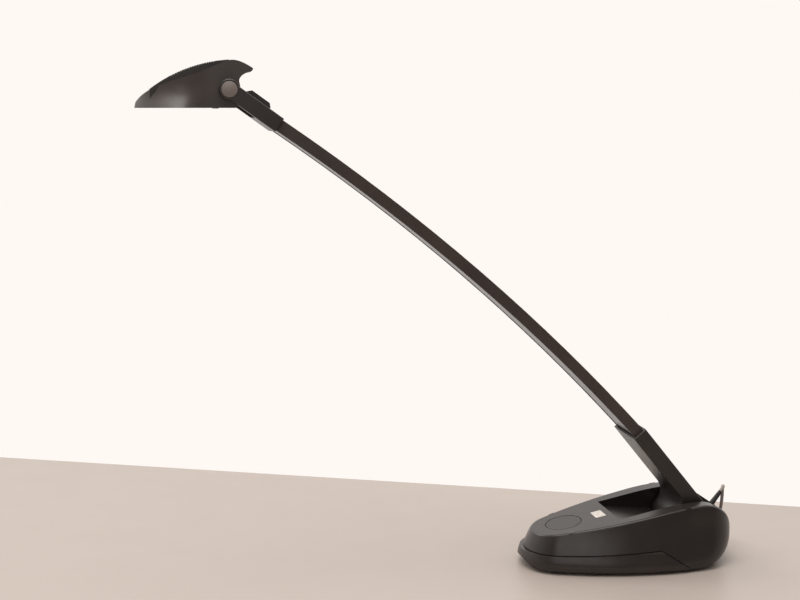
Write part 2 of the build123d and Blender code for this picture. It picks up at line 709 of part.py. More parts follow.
def along_blade(r_low, r_high, half, in_foot, in_fork):
    """Bar of rectangular section along the blade, with straight ends inside foot and fork."""
    with BuildPart() as bar:
        with BuildSketch(section_at(blade_from)):
            with Locations(((r_low + r_high) / 2, 0)):
                Rectangle(r_high - r_low, 2 * half)
        revolve(axis=Axis(blade_centre, (0, -1, 0)), revolution_arc=blade_to - blade_from)
        for angle, run, direction in (
            (blade_from, in_foot, -foot_plane.x_dir),
            (blade_to, in_fork, -fork_plane.x_dir),
        ):
            if run:
                with BuildSketch(section_at(angle)):
                    with Locations(((r_low + r_high) / 2, 0)):
                        Rectangle(r_high - r_low, 2 * half)
                extrude(amount=run, dir=direction)
    return bar.part


r_top = BLADE_R + BLADE_THICK / 2
r_lip = BLADE_R - BLADE_THICK / 2
r_cover = r_lip + COVER_RECESS
r_ledge = r_cover + COVER_THICK
channel_half = BLADE_HALF - BLADE_WALL
blade_envelope = along_blade(
    r_lip - SOCKET_GAP,
    r_top + SOCKET_GAP,
    BLADE_HALF + SOCKET_GAP,
    BLADE_IN_FOOT + SOCKET_GAP,
    BLADE_IN_FORK + SOCKET_GAP,
)

with BuildPart() as arm_blade:
    add(along_blade(r_lip, r_top, BLADE_HALF, BLADE_IN_FOOT, BLADE_IN_FORK))
    add(
        along_blade(r_lip - 1, r_ledge, channel_half, BLADE_IN_FOOT + 1, BLADE_IN_FORK + 1),
        mode=Mode.SUBTRACT,
    )
    add(
        along_blade(
            r_ledge - 0.5,
            r_top - BLADE_WALL,
            channel_half - COVER_LEDGE,
            BLADE_IN_FOOT + 1,
            BLADE_IN_FORK + 1,
        ),
        mode=Mode.SUBTRACT,
    )
save(arm_blade.part, "arm_blade")

save(along_blade(r_cover, r_ledge, channel_half, 0, 0), "arm_cover")

# lead in the blade's channel, straight on through the foot's duct, and up into the tongue
lead_in_foot = SLEEVE_LENGTH + sqrt(DRUM_R**2 - lead_v**2) - 0.5
tongue_mid = (TONGUE_LOW + TONGUE_TOP) / 2
fork_lead = [
    fork_plane.from_local_coords((along, rise, 0))
    for along, rise in (
        (FORK_LENGTH + 0.5, LEAD_RISE),
        (FORK_LENGTH - BLADE_IN_FORK + 0.8, LEAD_RISE),
        (FORK_SLOT, tongue_mid - 1.6),
        (TONGUE_FRONT, tongue_mid),
    )
]


def lead_at(angle):
    """Point on the lead's middle line inside the blade."""
    return section_at(angle).from_local_coords((BLADE_R + LEAD_RISE, 0, 0))


def tube_along(path, radius):
    """Round bar along a wire."""
    with BuildPart() as tube:
        with BuildSketch(Plane(path @ 0, z_dir=path % 0)):
            Circle(radius)
        sweep(path=path)
    return tube.part


lead_low, lead_high = lead_at(blade_from), lead_at(blade_to)
with BuildLine() as lead_line:
    Line(lead_low - foot_plane.x_dir * lead_in_foot, lead_low)
    ThreePointArc(lead_low, lead_at((blade_from + blade_to) / 2), lead_high)
    FilletPolyline(lead_high, *fork_lead[1:], radius=LEAD_BEND)
    kinks = [lead_line.vertices().sort_by_distance(end)[0] for end in (lead_low, lead_high)]
    fillet(kinks, radius=LEAD_EASE)
save(tube_along(lead_line.wires()[0], LEAD_R), "arm_lead")

with BuildLine() as duct_line:
    FilletPolyline(*fork_lead, radius=LEAD_BEND)

with BuildPart() as arm_foot:
    with BuildSketch(foot_plane):
        Circle(DRUM_R)
        with Locations((SLEEVE_LENGTH / 2, (SLEEVE_FRONT + SLEEVE_REAR) / 2)):
            Rectangle(SLEEVE_LENGTH, SLEEVE_REAR - SLEEVE_FRONT)
        corner = (sqrt(DRUM_R**2 - SLEEVE_FRONT**2), SLEEVE_FRONT)
        fillet(vertices().sort_by_distance(corner)[0], SLEEVE_BLEND)
        corner = (sqrt(DRUM_R**2 - SLEEVE_REAR**2), SLEEVE_REAR)
        fillet(vertices().sort_by_distance(corner)[0], 30)
    extrude(amount=FOOT_HALF, both=True)
    flat_ends = faces().filter_by(Axis.Y)
    fillet(flat_ends.edges(), SLEEVE_EDGE)
    add(blade_envelope, mode=Mode.SUBTRACT)
    with BuildSketch(foot_plane.offset(-FOOT_HALF)):
        Circle(AXLE_R + BUSH_WALL)
    extrude(amount=BUSH_LENGTH, mode=Mode.SUBTRACT)
    with BuildSketch(foot_plane.offset(FOOT_HALF)):
        Circle(AXLE_R + BUSH_WALL)
    extrude(amount=-BUSH_LENGTH, mode=Mode.SUBTRACT)
    with BuildSketch(foot_plane):
        Circle(AXLE_R + 0.6)
    extrude(amount=FOOT_HALF, both=True, mode=Mode.SUBTRACT)
    with BuildSketch(lead_plane):
        Circle(DUCT_R)
    extrude(amount=SLEEVE_LENGTH - BLADE_IN_FOOT + 1, both=True, mode=Mode.SUBTRACT)
save(arm_foot.part, "arm_foot")

with BuildPart() as foot_bushes:
    for side in (-1, 1):
        with BuildSketch(foot_plane.offset(side * FOOT_HALF)):
            Circle(AXLE_R + BUSH_WALL)
            Circle(AXLE_R + RUNNING, mode=Mode.SUBTRACT)
        extrude(amount=-side * BUSH_LENGTH)
save(foot_bushes.part, "foot_bushes")

# ---------------------------------------------------------------- fork, pin and caps
with BuildPart() as head_fork:
    with BuildSketch(fork_plane):
        Circle(BOSS_R)
        with Locations((FORK_LENGTH / 2, 0)):
            Rectangle(FORK_LENGTH, 2 * FORK_HALF_DEPTH)
    extrude(amount=FOOT_HALF, both=True)
    fillet(faces().filter_by(Axis.Y).edges(), SLEEVE_EDGE)
    # tongue over the slot
    with BuildSketch(fork_plane):
        with BuildLine():
            Polyline(
                (TONGUE_FRONT, TONGUE_LOW),
                (TONGUE_FRONT, TONGUE_TOP - TONGUE_BEVEL),
                (TONGUE_FRONT + TONGUE_BEVEL, TONGUE_TOP),
                (TONGUE_REAR - TONGUE_BEVEL, TONGUE_TOP),
                (TONGUE_REAR, TONGUE_TOP - TONGUE_BEVEL),
                (TONGUE_REAR, TONGUE_LOW),
                close=True,
            )
        make_face()
    tongue = extrude(amount=TONGUE_HALF, both=True, mode=Mode.PRIVATE)
    with BuildSketch(fork_plane):
        with Locations((FORK_SLOT - FORK_LENGTH / 2, 0)):
            Rectangle(FORK_LENGTH, 2 * FORK_LENGTH)
    extrude(amount=CHEEK_INNER, both=True, mode=Mode.SUBTRACT)
    add(tongue)
    add(blade_envelope, mode=Mode.SUBTRACT)
    add(tube_along(duct_line.wires()[0], LEAD_R + DUCT_GAP), mode=Mode.SUBTRACT)
    with BuildSketch(fork_plane):
        Circle(PIN_R)
    extrude(amount=FOOT_HALF, both=True, mode=Mode.SUBTRACT)
    for side in (-1, 1):
        with BuildSketch(fork_plane.offset(side * FOOT_HALF)):
            Circle(CAP_R + CAP_GAP)
        extrude(amount=-side * CAP_SINK, mode=Mode.SUBTRACT)
save(head_fork.part, "head_fork")

with BuildPart() as head_pin:
    with BuildSketch(fork_plane):
        Circle(PIN_R)
    extrude(amount=FOOT_HALF - CAP_SINK, both=True)
save(head_pin.part, "head_pin")

with BuildPart() as pin_caps:
    dome_r = (CAP_R**2 + CAP_RISE**2) / (2 * CAP_RISE)
    with BuildSketch(Plane(origin=pin, x_dir=(1, 0, 0), z_dir=(0, 0, 1))):
        with BuildLine():
            seat_y = FOOT_HALF - CAP_SINK
            Polyline((0, FOOT_HALF + CAP_RISE), (0, seat_y), (CAP_R, seat_y), (CAP_R, FOOT_HALF))
            ThreePointArc(
                (CAP_R, FOOT_HALF),
                (CAP_R / 2, FOOT_HALF + CAP_RISE - dome_r + sqrt(dome_r**2 - CAP_R**2 / 4)),
                (0, FOOT_HALF + CAP_RISE),
            )
        make_face()
    revolve(axis=Axis(pin, (0, 1, 0)))
    mirror(about=Plane.XZ)
save(pin_caps.part, "pin_caps")


# ---------------------------------------------------------------- head
# height, nose, widest half width
HEAD_LEVELS = [
    (-30.0, -84.6, 36.0),
    (-17.0, HEAD_NOSE, 33.2),
    (-9.0, -82.4, 27.6),
    (2.0, -78.0, 23.9),
    (30.0, -70.0, 21.9),
]
SHELL_TOP = [
    (-84.4, -13.5),
    (-77.0, -4.9),
    (-66.0, 1.8),
    (-45.0, 9.2),
    (-23.5, 16.4),
    (-5.0, 24.3),
    (3.0, 26.4),
    (12.0, 24.6),
    (22.3, 18.9),
]
SHELL_REAR_FACE = [(17.4, 15.4), (11.6, 11.9), (9.5, 8.0), (10.3, 3.2), (10.4, -7.0), (7.3, RIM_Z)]


def head_outline(nose, half, inset=0.0):
    """Plan of the head at one height, measured from the pin."""
    waist = HEAD_HALF - inset
    wide = half - inset
    with BuildLine() as outline:
        Spline(
            (HEAD_WAIST, -waist),
            (HEAD_WIDEST, -wide),
            (nose + inset, 0),
            (HEAD_WIDEST, wide),
            (HEAD_WAIST, waist),
            tangents=((-1, 0), (1, 0)),
        )
        Polyline((HEAD_WAIST, waist), (40, waist), (40, -waist), (HEAD_WAIST, -waist))
    make_face(outline.edges())


def moved_in(points, inset):
    """Points of an outline moved to its right, square to the line through their neighbours."""
    moved = []
    for n, (x, z) in enumerate(points):
        before, after = points[max(n - 1, 0)], points[min(n + 1, len(points) - 1)]
        dx, dz = after[0] - before[0], after[1] - before[1]
        d = hypot(dx, dz)
        moved.append((x + inset * dz / d, z - inset * dx / d))
    return moved


def head_side(inset=0.0):
    """Side view of the head, reaching down past the rim; its inner face leaves the tip solid."""
    top = moved_in(SHELL_TOP[:-1] if inset else SHELL_TOP, inset)
    rear = moved_in(SHELL_REAR_FACE, inset)
    with BuildLine() as outline:
        Spline(*top)
        if inset:
            Line(top[-1], rear[0])
        else:
            ThreePointArc(top[-1], (21.4, 16.8), rear[0])
        Spline(*rear[:4], tangents=((-1, -0.5), (0.1, -1)))
        Polyline(
            *rear[3:],
            (rear[-1][0] - 3.3, FORM_BOTTOM),
            (top[0][0] - 0.3, FORM_BOTTOM),
            top[0],
        )
    make_face(outline.edges())


def head_form(inset=0.0):
    """Closed form of the head; an inset gives its inner face."""
    with BuildPart() as form:
        for z, *level in HEAD_LEVELS:
            with BuildSketch(head_plan.offset(z)):
                head_outline(*level, inset)
        loft()
        with BuildSketch(head_plane.offset(-ACROSS)):
            head_side(inset)
        extrude(amount=2 * ACROSS, mode=Mode.INTERSECT)
    return form.part


def dome_side(inset=0.0):
    """Side view of the finned panel."""
    with BuildLine() as outline:
        ThreePointArc((-70.5, 0.2), (-36.0, 19.1), (1.0, 26.7))
        Polyline((1.0, 26.7), (1.0, -8.0), (-70.5, -8.0), (-70.5, 0.2))
    make_face(outline.edges())
    if inset:
        offset(amount=-inset)


head_outer = head_form()
head_inner = head_form(HEAD_WALL)
BOSS_HEAD_R = 8.0
BUSH_HEAD = 6.0
GLASS_TOP = RIM_Z + 1.0 + GLASS_THICK
PLATE_FRONT = -13.5
CLIP_THICK = 0.7
CLIP_SCREW_R = 1.1
clip_places = [(-11.0, -13.0), (-11.0, 13.0)]

with BuildPart() as dome_solid:
    with BuildSketch(head_plane):
        dome_side()
    extrude(amount=DOME_HALF, both=True)
    add(head_outer, mode=Mode.SUBTRACT)

with BuildPart() as dome_hollow:
    with BuildSketch(head_plane):
        dome_side(DOME_SKIN)
    extrude(amount=DOME_HALF - DOME_SKIN, both=True)

with BuildPart() as head_shell:
    add(head_outer)
    add(head_inner, mode=Mode.SUBTRACT)
    # bosses round the hinge
    for side in (-1, 1):
        with BuildSketch(head_plane.offset(side * HEAD_HALF)):
            Circle(BOSS_HEAD_R)
        extrude(amount=-side * BUSH_HEAD)
    # plate behind the glass and a lip under its front
    with BuildSketch(head_plan.offset(GLASS_TOP)):
        with Locations(((PLATE_FRONT + 8.0) / 2, 0)):
            Rectangle(8.0 - PLATE_FRONT, 2 * HEAD_HALF - HEAD_WALL)
    extrude(amount=-GLASS_THICK)
    with BuildSketch(head_plan.offset(RIM_Z)):
        head_outline(*HEAD_LEVELS[1][1:], HEAD_WALL / 2)
        with Locations((ACROSS - 77, 0)):
            Rectangle(2 * ACROSS, 2 * ACROSS, mode=Mode.SUBTRACT)
    extrude(amount=GLASS_TOP - GLASS_THICK - RIM_Z)
    with BuildSketch(head_plan.offset(RIM_Z)):
        Rectangle(2 * ACROSS, 2 * ACROSS)
    extrude(amount=-2 * HIGH, mode=Mode.SUBTRACT)
    with BuildSketch(head_plane):
        Circle(HEAD_BUSH_R)
    extrude(amount=HEAD_HALF, both=True, mode=Mode.SUBTRACT)
    # opening under the finned panel
    with BuildSketch(head_plane):
        dome_side(DOME_SKIN)
    extrude(amount=DOME_HALF - DOME_SKIN - 0.8, both=True, mode=Mode.SUBTRACT)
    # hole for the lead, and bores for the clips' screws
    with BuildSketch(head_plane):
        with Locations((10, -2)):
            Rectangle(6, 4)
    extrude(amount=3, both=True, mode=Mode.SUBTRACT)
    with BuildSketch(head_plan.offset(RIM_Z)):
        with Locations(*clip_places):
            Circle(CLIP_SCREW_R)
    extrude(amount=GLASS_TOP - RIM_Z, mode=Mode.SUBTRACT)
save(head_shell.part, "head_shell")

with BuildPart() as fin_bars:
    with BuildSketch(head_plane):
        with Locations(*[(FIN_FRONT + FIN_PITCH * n, 20) for n in range(FIN_COUNT)]):
            Rectangle(FIN_SLIT, 60)
    extrude(amount=DOME_HALF + 1, both=True)

with BuildPart() as fin_slots:
    add(fin_bars)
    with BuildSketch(head_plane):
        Rectangle(2 * ACROSS, 2 * ACROSS)
    extrude(amount=DOME_HALF - DOME_SKIN - 0.8, both=True, mode=Mode.INTERSECT)

with BuildPart() as fin_core:
    with BuildSketch(head_plane):
        dome_side(FIN_DEPTH)
    extrude(amount=DOME_HALF + 1, both=True)

with BuildPart() as head_grille:
    add(dome_solid.part)
    add(dome_hollow.part, mode=Mode.SUBTRACT)
    add(fin_slots.part, mode=Mode.SUBTRACT)
    add(fin_bars.part - fin_core.part, mode=Mode.SUBTRACT)
save(head_grille.part, "head_grille")

REFLECTOR_WALL = 0.8
REFLECTOR_RIM = 1.0
holder_x = (-16.5, -6.5)


def reflector_form(inset):
    """Trough over the lamp."""
    with BuildPart() as form:
        with BuildSketch(head_plan.offset(GLASS_TOP - 0.01 if inset else GLASS_TOP)):
            with Locations((-44, 0)):
                RectangleRounded(50 - 2 * inset, 40 - 2 * inset, 14 - inset)
        with BuildSketch(head_plan.offset(2.2 - inset)):
            with Locations((-42, 0)):
                RectangleRounded(34 - 2 * inset, 22 - 2 * inset, 8 - inset)
        loft()
    return form.part


with BuildPart() as reflector:
    add(reflector_form(0))
    with BuildSketch(head_plan.offset(GLASS_TOP)):
        with Locations((-44, 0)):
            RectangleRounded(52, 42, 17)
    extrude(amount=REFLECTOR_RIM)
    add(reflector_form(REFLECTOR_WALL), mode=Mode.SUBTRACT)
    # slot for the foot of the capsule
    with BuildSketch(Plane(pin + Vector(-30, 0, 0), x_dir=(0, 1, 0), z_dir=(1, 0, 0))):
        with Locations((0, CAPSULE_Z)):
            Rectangle(11, 6)
    extrude(amount=20, mode=Mode.SUBTRACT)
save(reflector.part, "reflector")

lamp_plane = Plane(pin + Vector(0, 0, CAPSULE_Z), x_dir=(0, 1, 0), z_dir=(-1, 0, 0))
with BuildPart() as lamp_holder:
    with BuildSketch(head_plan.offset(GLASS_TOP)):
        with Locations((sum(holder_x) / 2, 0)):
            RectangleRounded(holder_x[1] - holder_x[0], 16, 1.5)
    extrude(amount=1.0 - GLASS_TOP)
    with BuildSketch(lamp_plane.offset(-holder_x[0])):
        with GridLocations(6.35, 1, 2, 1):
            Circle(0.6)
    extrude(amount=-7, mode=Mode.SUBTRACT)
save(lamp_holder.part, "lamp_holder")

with BuildPart() as halogen_capsule:
    with BuildSketch(lamp_plane.offset(26)):
        Circle(CAPSULE_R)
    extrude(amount=25)
    fillet(faces().sort_by(Axis.X)[0].edges(), CAPSULE_R - 0.5)
    with BuildSketch(lamp_plane.offset(-holder_x[0])):
        RectangleRounded(9.4, 3.4, 1)
    extrude(amount=26 + holder_x[0] + 0.5)
save(halogen_capsule.part, "halogen_capsule")

with BuildPart() as capsule_pins:
    with BuildSketch(lamp_plane.offset(-holder_x[0])):
        with GridLocations(6.35, 1, 2, 1):
            Circle(0.6)
    extrude(amount=-7)
save(capsule_pins.part, "capsule_pins")

with BuildPart() as glass_pane:
    with BuildSketch(head_plan.offset(GLASS_TOP)):
        head_outline(HEAD_LEVELS[1][1] + 1.8, HEAD_LEVELS[1][2] - 3.2, HEAD_WALL + GLASS_GAP)
        with Locations((PLATE_FRONT - GLASS_GAP + ACROSS, 0)):
            Rectangle(2 * ACROSS, 2 * ACROSS, mode=Mode.SUBTRACT)
    extrude(amount=-GLASS_THICK)
save(glass_pane.part, "glass_pane")

with BuildPart() as glass_clips:
    with BuildSketch(head_plan.offset(GLASS_TOP - GLASS_THICK)):
        with Locations((-14.0, -13.0), (-14.0, 13.0)):
            Rectangle(12, 7)
        with Locations(*clip_places):
            Circle(CLIP_SCREW_R, mode=Mode.SUBTRACT)
    extrude(amount=-CLIP_THICK)
save(glass_clips.part, "glass_clips")

with BuildPart() as clip_screws:
    with BuildSketch(head_plan.offset(GLASS_TOP - GLASS_THICK - CLIP_THICK)):
        with Locations(*clip_places):
            Circle(2)
    extrude(amount=-0.9)
    with BuildSketch(head_plan.offset(GLASS_TOP - GLASS_THICK - CLIP_THICK)):
        with Locations(*clip_places):
            Circle(CLIP_SCREW_R)
    extrude(amount=CLIP_THICK + GLASS_THICK)
save(clip_screws.part, "clip_screws")

with BuildPart() as head_bushes:
    for side in (-1, 1):
        with BuildSketch(head_plane.offset(side * HEAD_HALF)):
            Circle(HEAD_BUSH_R)
            Circle(PIN_R + RUNNING, mode=Mode.SUBTRACT)
        extrude(amount=-side * BUSH_HEAD)
save(head_bushes.part, "head_bushes")

# ---------------------------------------------------------------- cord
RELIEF_BORE = 12.0         # how far the cord goes into its relief
CORD_Z = CORD_R            # cord lying on the desk
PLUG = (36.0, 35.0, 13.6)  # body of the plug: length, width, height
PLUG_REAR = (2.0, 82.0)    # where the cord enters it
PLUG_BORE = 8.0
PLUG_PIN = 19.0
PLUG_PIN_R = 2.0
PLUG_PIN_HALF = 9.5

with BuildPart() as strain_relief:
    with BuildSketch(relief_plane):
        Circle(RELIEF_ROOT_R)
    with BuildSketch(relief_plane.offset(RELIEF_LENGTH)):
        Circle(RELIEF_TIP_R)
    loft()
    add(shell_outer, mode=Mode.SUBTRACT)
    with BuildSketch(relief_plane.offset(-RELIEF_IN)):
        Circle(RELIEF_NECK_R)
    extrude(amount=RELIEF_IN + 3)
    with BuildSketch(relief_plane.offset(RELIEF_LENGTH - RELIEF_BORE)):
        Circle(CORD_R + RUNNING)
    extrude(amount=RELIEF_BORE, mode=Mode.SUBTRACT)
save(strain_relief.part, "strain_relief")


def rounded_line(points):
    """Line through the points, every corner rounded as widely as its shorter run allows."""
    bends = []
    for a, b, c in zip(points, points[1:], points[2:]):
        before, after = Vector(*b) - Vector(*a), Vector(*c) - Vector(*b)
        turn = radians(before.get_angle(after))
        bends.append(0.45 * min(before.length, after.length) / tan(turn / 2))
    print("bend radii", [round(r, 1) for r in bends])
    with BuildLine() as line:
        FilletPolyline(*points, radius=bends)
    return line.wires()[0]


def cord_tube(path):
    """Round tube of the cord along a wire."""
    made = tube_along(path, CORD_R)
    print(f"cord {path.length:.1f} long, volume over section {made.volume / (pi * CORD_R**2):.1f}")
    return made


def spiral_point(half_turn, ring, z):
    """Point where a half turn of the coil ends, on the side that faces the base or away from it."""
    side = -1 if half_turn % 2 == 0 else 1
    return Vector(COIL_CENTRE[0], COIL_CENTRE[1] + side * (COIL_INNER + ring * COIL_PITCH / 2), z)


coil_points = []           # point and direction at the end of every half turn
half_turn = 0
for layer in range(COIL_LAYERS):
    rings = list(range(COIL_HALF_TURNS + 1))
    if layer % 2 == 0:
        rings.reverse()
    if layer == COIL_LAYERS - 1:
        rings.pop()
    for ring in rings:
        heading = Vector(-1 if half_turn % 2 == 0 else 1, 0, 0)
        coil_points.append((spiral_point(half_turn, ring, CORD_Z + layer * COIL_LAYER), heading))
        half_turn += 1
coil_start, coil_end = coil_points[0][0], coil_points[-1][0]
coil_in = coil_start + Vector(2 * CORD_R, 0, 0)
coil_out = coil_end + coil_points[-1][1] * 2 * CORD_R

with BuildLine() as coil_line:
    Line(coil_in, coil_start)
    for (p0, t0), (p1, t1) in zip(coil_points, coil_points[1:]):
        # two arcs that meet halfway round
        chord = p1 - p0
        reach = chord.length / 2
        halfway = (p0 + p1) * 0.5 + t0 * reach
        across = halfway - p0
        TangentArc(p0, halfway, tangent=t0)
        TangentArc(halfway, p1, tangent=across * (2 * t0.dot(across) / across.dot(across)) - t0)
    Line(coil_end, coil_out)
coil_path = coil_line.wires()[0]

samples = int(coil_path.length / 1.5)
coil_samples = [coil_path @ (n / samples) for n in range(samples + 1)]
skip = 14                  # neighbours along the cord
gap = min(
    (p - q).length for n, p in enumerate(coil_samples) for q in coil_samples[n + skip:]
) - 2 * CORD_R
print(f"coil least gap to itself {gap:.2f}")

cord_points = [
    (102.0, 0.0, 54.05),
    (112.8, 0.0, 67.9),
    (116.6, 10.6, 66.6),
    (118.8, 15.0, 49.0),
    (121.0, 24.0, 31.0),
    (118.5, 40.0, 13.0),
    (103.0, 58.0, 2.6),
    (76.0, coil_in.Y, CORD_Z),
    (coil_in.X, coil_in.Y, CORD_Z),
]
tail_points = [
    (coil_out.X, coil_out.Y, coil_out.Z),
    (25.0, coil_out.Y, coil_out.Z),
    (10.0, PLUG_REAR[1], PLUG[2] / 2),
    (PLUG_REAR[0] - PLUG_BORE, PLUG_REAR[1], PLUG[2] / 2),
]
save(cord_tube(rounded_line(cord_points)), "power_cord")
save(cord_tube(coil_path), "power_cord_coil")
save(cord_tube(rounded_line(tail_points)), "power_cord_tail")

plug_plane = Plane(
    origin=(PLUG_REAR[0], PLUG_REAR[1], PLUG[2] / 2), x_dir=(0, 1, 0), z_dir=(-1, 0, 0)
)
with BuildPart() as mains_plug:
    with BuildSketch(plug_plane):
        RectangleRounded(PLUG[1] * 0.45, PLUG[2] * 0.8, 4)
    with BuildSketch(plug_plane.offset(PLUG[0] * 0.6)):
        RectangleRounded(PLUG[1], PLUG[2], 5)
    loft()
    with BuildSketch(plug_plane.offset(PLUG[0] * 0.6)):
        RectangleRounded(PLUG[1], PLUG[2], 5)
    extrude(amount=PLUG[0] * 0.4)
    with BuildSketch(plug_plane):
        Circle(CORD_R)
    extrude(amount=PLUG_BORE, mode=Mode.SUBTRACT)
save(mains_plug.part, "mains_plug")

with BuildPart() as plug_pins:
    with BuildSketch(plug_plane.offset(PLUG[0])):
        with Locations((-PLUG_PIN_HALF, 0), (PLUG_PIN_HALF, 0)):
            Circle(PLUG_PIN_R)
    extrude(amount=PLUG_PIN)
    fillet(faces().sort_by(Axis.X)[0:2].edges(), 0.9)
save(plug_pins.part, "plug_pins")
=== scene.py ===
from math import cos, pi, radians, sin, tau

import bpy
from mathutils import Matrix, Vector


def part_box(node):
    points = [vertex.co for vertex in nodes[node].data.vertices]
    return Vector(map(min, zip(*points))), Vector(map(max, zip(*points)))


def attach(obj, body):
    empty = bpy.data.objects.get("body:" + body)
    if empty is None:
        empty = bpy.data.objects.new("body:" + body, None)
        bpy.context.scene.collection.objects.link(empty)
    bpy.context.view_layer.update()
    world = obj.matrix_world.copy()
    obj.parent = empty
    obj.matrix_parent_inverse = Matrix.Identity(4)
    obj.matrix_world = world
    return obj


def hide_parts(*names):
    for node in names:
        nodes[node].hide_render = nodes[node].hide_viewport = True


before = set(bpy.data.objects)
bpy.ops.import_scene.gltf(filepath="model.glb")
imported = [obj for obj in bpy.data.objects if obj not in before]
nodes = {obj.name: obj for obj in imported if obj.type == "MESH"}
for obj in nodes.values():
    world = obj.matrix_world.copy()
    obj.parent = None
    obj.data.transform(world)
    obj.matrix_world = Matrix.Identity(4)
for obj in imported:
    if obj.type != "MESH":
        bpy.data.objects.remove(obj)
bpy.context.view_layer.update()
scene = bpy.context.scene
MM = 0.001

# ---------------------------------------------------------------- camera
EYE_PLACE = (-0.499685, -1.221896, 0.462021)
EYE_PITCH = radians(81.6)      # 90 degrees looks level
EYE_TURN = radians(-12.2)
FOCAL_LENGTH = 58.5
SENSOR_WIDTH = 36
NEAREST = 0.01

eye = bpy.data.cameras.new("camera")
eye.lens = FOCAL_LENGTH
eye.sensor_width = SENSOR_WIDTH
eye.clip_start = NEAREST
camera = bpy.data.objects.new("camera", eye)
camera.location = EYE_PLACE
camera.rotation_euler = (EYE_PITCH, 0, EYE_TURN)
scene.collection.objects.link(camera)
scene.camera = camera


# ---------------------------------------------------------------- making pieces
def add_piece(name, data, body, material):
    """Object that belongs to the lamp and moves with one body."""
    piece = bpy.data.objects.new(name, data)
    scene.collection.objects.link(piece)
    if not data.materials:
        data.materials.append(material)
    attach(piece, body)
    return piece


def frame_at(origin, x_axis, z_axis):
    """Matrix of a place: its origin and the directions of its x and z."""
    z = Vector(z_axis).normalized()
    x = Vector(x_axis).normalized()
    y = z.cross(x)
    return Matrix.Translation(origin) @ Matrix((x, y, z)).transposed().to_4x4()


def node_piece(name, tree, body, material, place):
    """Runs a geometry tree, keeps the result as a plain mesh and puts it in its place."""
    holder = bpy.data.objects.new(name + "_maker", bpy.data.meshes.new(name + "_maker"))
    scene.collection.objects.link(holder)
    maker = holder.modifiers.new("maker", "NODES")
    maker.node_group = tree
    bpy.context.view_layer.update()
    made = bpy.data.meshes.new_from_object(
        holder.evaluated_get(bpy.context.evaluated_depsgraph_get())
    )
    bpy.data.objects.remove(holder)
    made.name = name
    made.transform(place)
    made.materials.clear()
    return add_piece(name, made, body, material)


def join(tree, *pairs):
    """Links each output to its input."""
    for output, socket in pairs:
        tree.links.new(output, socket)


def geometry_tree(name, sizes):
    """Empty geometry tree with named inputs for its sizes."""
    tree = bpy.data.node_groups.new(name, "GeometryNodeTree")
    tree.interface.new_socket("Geometry", in_out="OUTPUT", socket_type="NodeSocketGeometry")
    for label, value in sizes:
        whole = isinstance(value, int)
        kind = "NodeSocketInt" if whole else "NodeSocketFloat"
        tree.interface.new_socket(label, in_out="INPUT", socket_type=kind).default_value = value
    return tree, tree.nodes.new("NodeGroupInput"), tree.nodes.new("NodeGroupOutput")


def end_tree(tree, shapes, output, material):
    """Realizes what the tree has made and gives it its material."""
    real = tree.nodes.new("GeometryNodeRealizeInstances")
    coat = tree.nodes.new("GeometryNodeSetMaterial")
    coat.inputs["Material"].default_value = material
    join(
        tree,
        (shapes, real.inputs[0]),
        (real.outputs[0], coat.inputs[0]),
        (coat.outputs[0], output.inputs[0]),
    )


# ---------------------------------------------------------------- finishes
BLEND_FROM, BLEND_TO = 0.3, 0.7    # part of a noise pattern's range that is used
PLASTIC_IOR = 1.5
GLASS_IOR = 1.47
RELIEF_DEPTH = 0.00004         # moulded grain


def shader_of(name, colour, roughness, metallic=0.0):
    """New material with its colour, gloss and metal set on the shader itself."""
    material = bpy.data.materials.new(name)
    material.use_nodes = True
    shader = material.node_tree.nodes["Principled BSDF"]
    shader.inputs["Base Color"].default_value = (*colour, 1)
    shader.inputs["Roughness"].default_value = roughness
    shader.inputs["Metallic"].default_value = metallic
    material.diffuse_color = (*colour, 1)
    return material, material.node_tree, shader


def noise(tree, size, detail=2.0, stretch=None):
    """Noise on the piece's own coordinates; size is one blotch or grain in metres."""
    place = tree.nodes.new("ShaderNodeTexCoord").outputs["Object"]
    if stretch:
        mapping = tree.nodes.new("ShaderNodeMapping")
        mapping.inputs["Scale"].default_value = stretch
        tree.links.new(place, mapping.inputs["Vector"])
        place = mapping.outputs["Vector"]
    pattern = tree.nodes.new("ShaderNodeTexNoise")
    pattern.inputs["Scale"].default_value = 1 / size
    pattern.inputs["Detail"].default_value = detail
    tree.links.new(place, pattern.inputs["Vector"])
    return pattern.outputs["Fac"]


def spread(tree, factor, low, high, socket):
    """A pattern's values laid out between two numbers, into one of the shader's sockets."""
    lay = tree.nodes.new("ShaderNodeMapRange")
    lay.inputs["From Min"].default_value = BLEND_FROM
    lay.inputs["From Max"].default_value = BLEND_TO
    lay.inputs["To Min"].default_value = low
    lay.inputs["To Max"].default_value = high
    tree.links.new(factor, lay.inputs["Value"])
    tree.links.new(lay.outputs["Result"], socket)


def tint(tree, factor, shade, light, socket):
    """Colour that wanders between two near shades."""
    ramp = tree.nodes.new("ShaderNodeValToRGB")
    ramp.color_ramp.elements[0].position = BLEND_FROM
    ramp.color_ramp.elements[1].position = BLEND_TO
    ramp.color_ramp.elements[0].color = (*shade, 1)
    ramp.color_ramp.elements[1].color = (*light, 1)
    tree.links.new(factor, ramp.inputs["Fac"])
    tree.links.new(ramp.outputs["Color"], socket)


def relief(tree, factor, depth, strength, shader):
    """Fine relief of the surface, depth in metres."""
    bump = tree.nodes.new("ShaderNodeBump")
    bump.inputs["Distance"].default_value = depth
    bump.inputs["Strength"].default_value = strength
    tree.links.new(factor, bump.inputs["Height"])
    tree.links.new(bump.outputs["Normal"], shader.inputs["Normal"])


def darker(colour, part):
    return tuple(value * part for value in colour)


